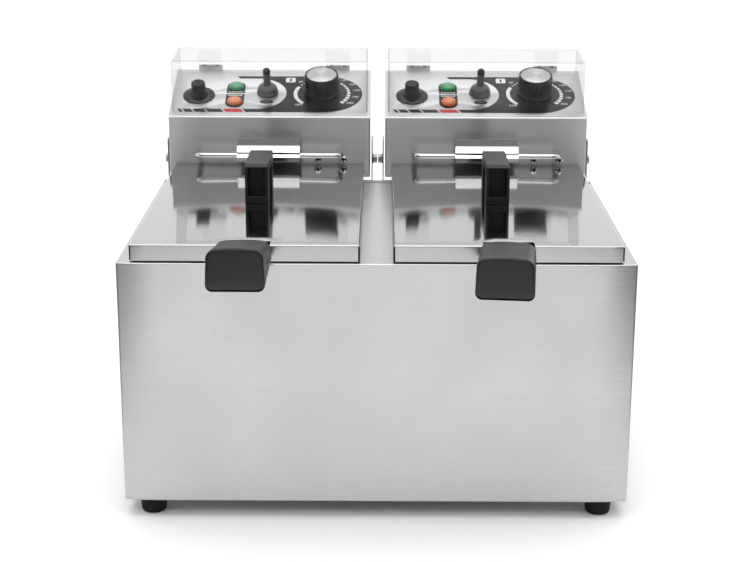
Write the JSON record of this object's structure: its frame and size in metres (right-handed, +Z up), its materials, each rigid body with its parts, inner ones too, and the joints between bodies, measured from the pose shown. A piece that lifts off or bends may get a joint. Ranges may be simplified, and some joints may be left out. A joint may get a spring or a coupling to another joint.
{
  "type": "deep fryer",
  "caption": "Countertop electric deep fryer with side-by-side oil tanks, lift-up lids, baskets and rear control heads under clear hinged covers.",
  "frame": {"origin": "centre of the footprint box, on the plane of the feet", "axes": "+Z up, +X to the right seen from the front, -Y towards the user, where the basket grips point"},
  "size_m": [0.55, 0.655, 0.446],
  "materials": {
    "satin_steel": "satin stainless sheet with a fine brushed grain",
    "bright_steel": "bright polished stainless sheet",
    "wire_steel": "bright drawn steel wire and strip",
    "element_steel": "dull heat-tinted element sheath",
    "black_plastic": "fine-textured black phenolic",
    "black_rubber": "matt black rubber",
    "grey_rubber": "dark grey sealing boot",
    "green_lens": "translucent green lens",
    "orange_lens": "translucent orange lens",
    "clear_plastic": "clear bent polycarbonate sheet"
  },
  "bodies": {
    "casing": {"body_shell": "satin_steel", "rear_panel": "satin_steel", "bottom_plate": "satin_steel", "foot_front_left": "black_rubber", "foot_front_right": "black_rubber", "foot_rear_left": "black_rubber", "foot_rear_right": "black_rubber", "tank_left": "bright_steel", "head_housing_left": "bright_steel", "head_rear_cover_left": "satin_steel", "cable_gland_left": "black_plastic", "head_bracket_left": "satin_steel", "heating_element_left": "element_steel", "thermostat_bulb_left": "bright_steel", "control_panel_left": "satin_steel", "thermostat_body_left": "black_plastic", "safety_cutout_left": "black_plastic", "toggle_switch_left": "grey_rubber", "lamp_green_left": "green_lens", "lamp_orange_left": "orange_lens", "hanger_rod_left": "bright_steel", "hanger_plate_left": "bright_steel", "cover_hinge_left_a": "bright_steel", "cover_hinge_left_b": "bright_steel", "tank_right": "bright_steel", "head_housing_right": "bright_steel", "head_rear_cover_right": "satin_steel", "cable_gland_right": "black_plastic", "head_bracket_right": "satin_steel", "heating_element_right": "element_steel", "thermostat_bulb_right": "bright_steel", "control_panel_right": "satin_steel", "thermostat_body_right": "black_plastic", "safety_cutout_right": "black_plastic", "toggle_switch_right": "grey_rubber", "lamp_green_right": "green_lens", "lamp_orange_right": "orange_lens", "hanger_rod_right": "bright_steel", "hanger_plate_right": "bright_steel", "cover_hinge_right_a": "bright_steel", "cover_hinge_right_b": "bright_steel"},
    "lid_left": {"lid_left": "bright_steel", "lid_handle_left": "black_plastic"},
    "basket_left": {"basket_left": "wire_steel", "basket_bracket_left": "wire_steel", "basket_handle_left": "black_plastic"},
    "cover_left": {"safety_cover_left": "clear_plastic"},
    "knob_left": {"thermostat_knob_left": "black_plastic"},
    "cap_left": {"reset_cap_left": "black_plastic"},
    "lever_left": {"toggle_lever_left": "grey_rubber"},
    "lid_right": {"lid_right": "bright_steel", "lid_handle_right": "black_plastic"},
    "basket_right": {"basket_right": "wire_steel", "basket_bracket_right": "wire_steel", "basket_handle_right": "black_plastic"},
    "cover_right": {"safety_cover_right": "clear_plastic"},
    "knob_right": {"thermostat_knob_right": "black_plastic"},
    "cap_right": {"reset_cap_right": "black_plastic"},
    "lever_right": {"toggle_lever_right": "grey_rubber"}
  },
  "joints": [
    {"name": "lid_tilt_left", "type": "hinge", "parent": "casing", "child": "lid_left", "pos_m": [-0.139, 0.19319, 0.31], "axis": [-1, 0, 0], "range_deg": [0, 15]},
    {"name": "basket_lift_left", "type": "slide", "parent": "casing", "child": "basket_left", "axis": [0, 0, 1], "range_m": [0, 0.038]},
    {"name": "cover_open_left", "type": "hinge", "parent": "casing", "child": "cover_left", "pos_m": [-0.139, 0.31269, 0.418], "axis": [-1, 0, 0], "range_deg": [0, 95]},
    {"name": "thermostat_turn_left", "type": "hinge", "parent": "casing", "child": "knob_left", "pos_m": [-0.0733, 0.25175, 0.39133], "axis": [0, -0.3567, 0.9342], "range_deg": [-225, 45]},
    {"name": "reset_cap_turn_left", "type": "hinge", "parent": "casing", "child": "cap_left", "pos_m": [-0.2336, 0.2439, 0.38834], "axis": [0, -0.3567, 0.9342], "range_deg": [0, 360]},
    {"name": "toggle_rock_left", "type": "hinge", "parent": "casing", "child": "lever_left", "pos_m": [-0.1445, 0.25039, 0.39938], "axis": [-1, 0, 0], "range_deg": [0, 20]},
    {"name": "lid_tilt_right", "type": "hinge", "parent": "casing", "child": "lid_right", "pos_m": [0.139, 0.19319, 0.31], "axis": [-1, 0, 0], "range_deg": [0, 15]},
    {"name": "basket_lift_right", "type": "slide", "parent": "casing", "child": "basket_right", "axis": [0, 0, 1], "range_m": [0, 0.038]},
    {"name": "cover_open_right", "type": "hinge", "parent": "casing", "child": "cover_right", "pos_m": [0.139, 0.31269, 0.418], "axis": [-1, 0, 0], "range_deg": [0, 95]},
    {"name": "thermostat_turn_right", "type": "hinge", "parent": "casing", "child": "knob_right", "pos_m": [0.2047, 0.25175, 0.39133], "axis": [0, -0.3567, 0.9342], "range_deg": [-225, 45]},
    {"name": "reset_cap_turn_right", "type": "hinge", "parent": "casing", "child": "cap_right", "pos_m": [0.0444, 0.2439, 0.38834], "axis": [0, -0.3567, 0.9342], "range_deg": [0, 360]},
    {"name": "toggle_rock_right", "type": "hinge", "parent": "casing", "child": "lever_right", "pos_m": [0.1335, 0.25039, 0.39938], "axis": [-1, 0, 0], "range_deg": [0, 20]}
  ],
  "couplings": [
    {"joint": "basket_lift_left", "follows": "lid_tilt_left", "m_per_rad": 0.14515},
    {"joint": "basket_lift_right", "follows": "lid_tilt_right", "m_per_rad": 0.14515}
  ]
}
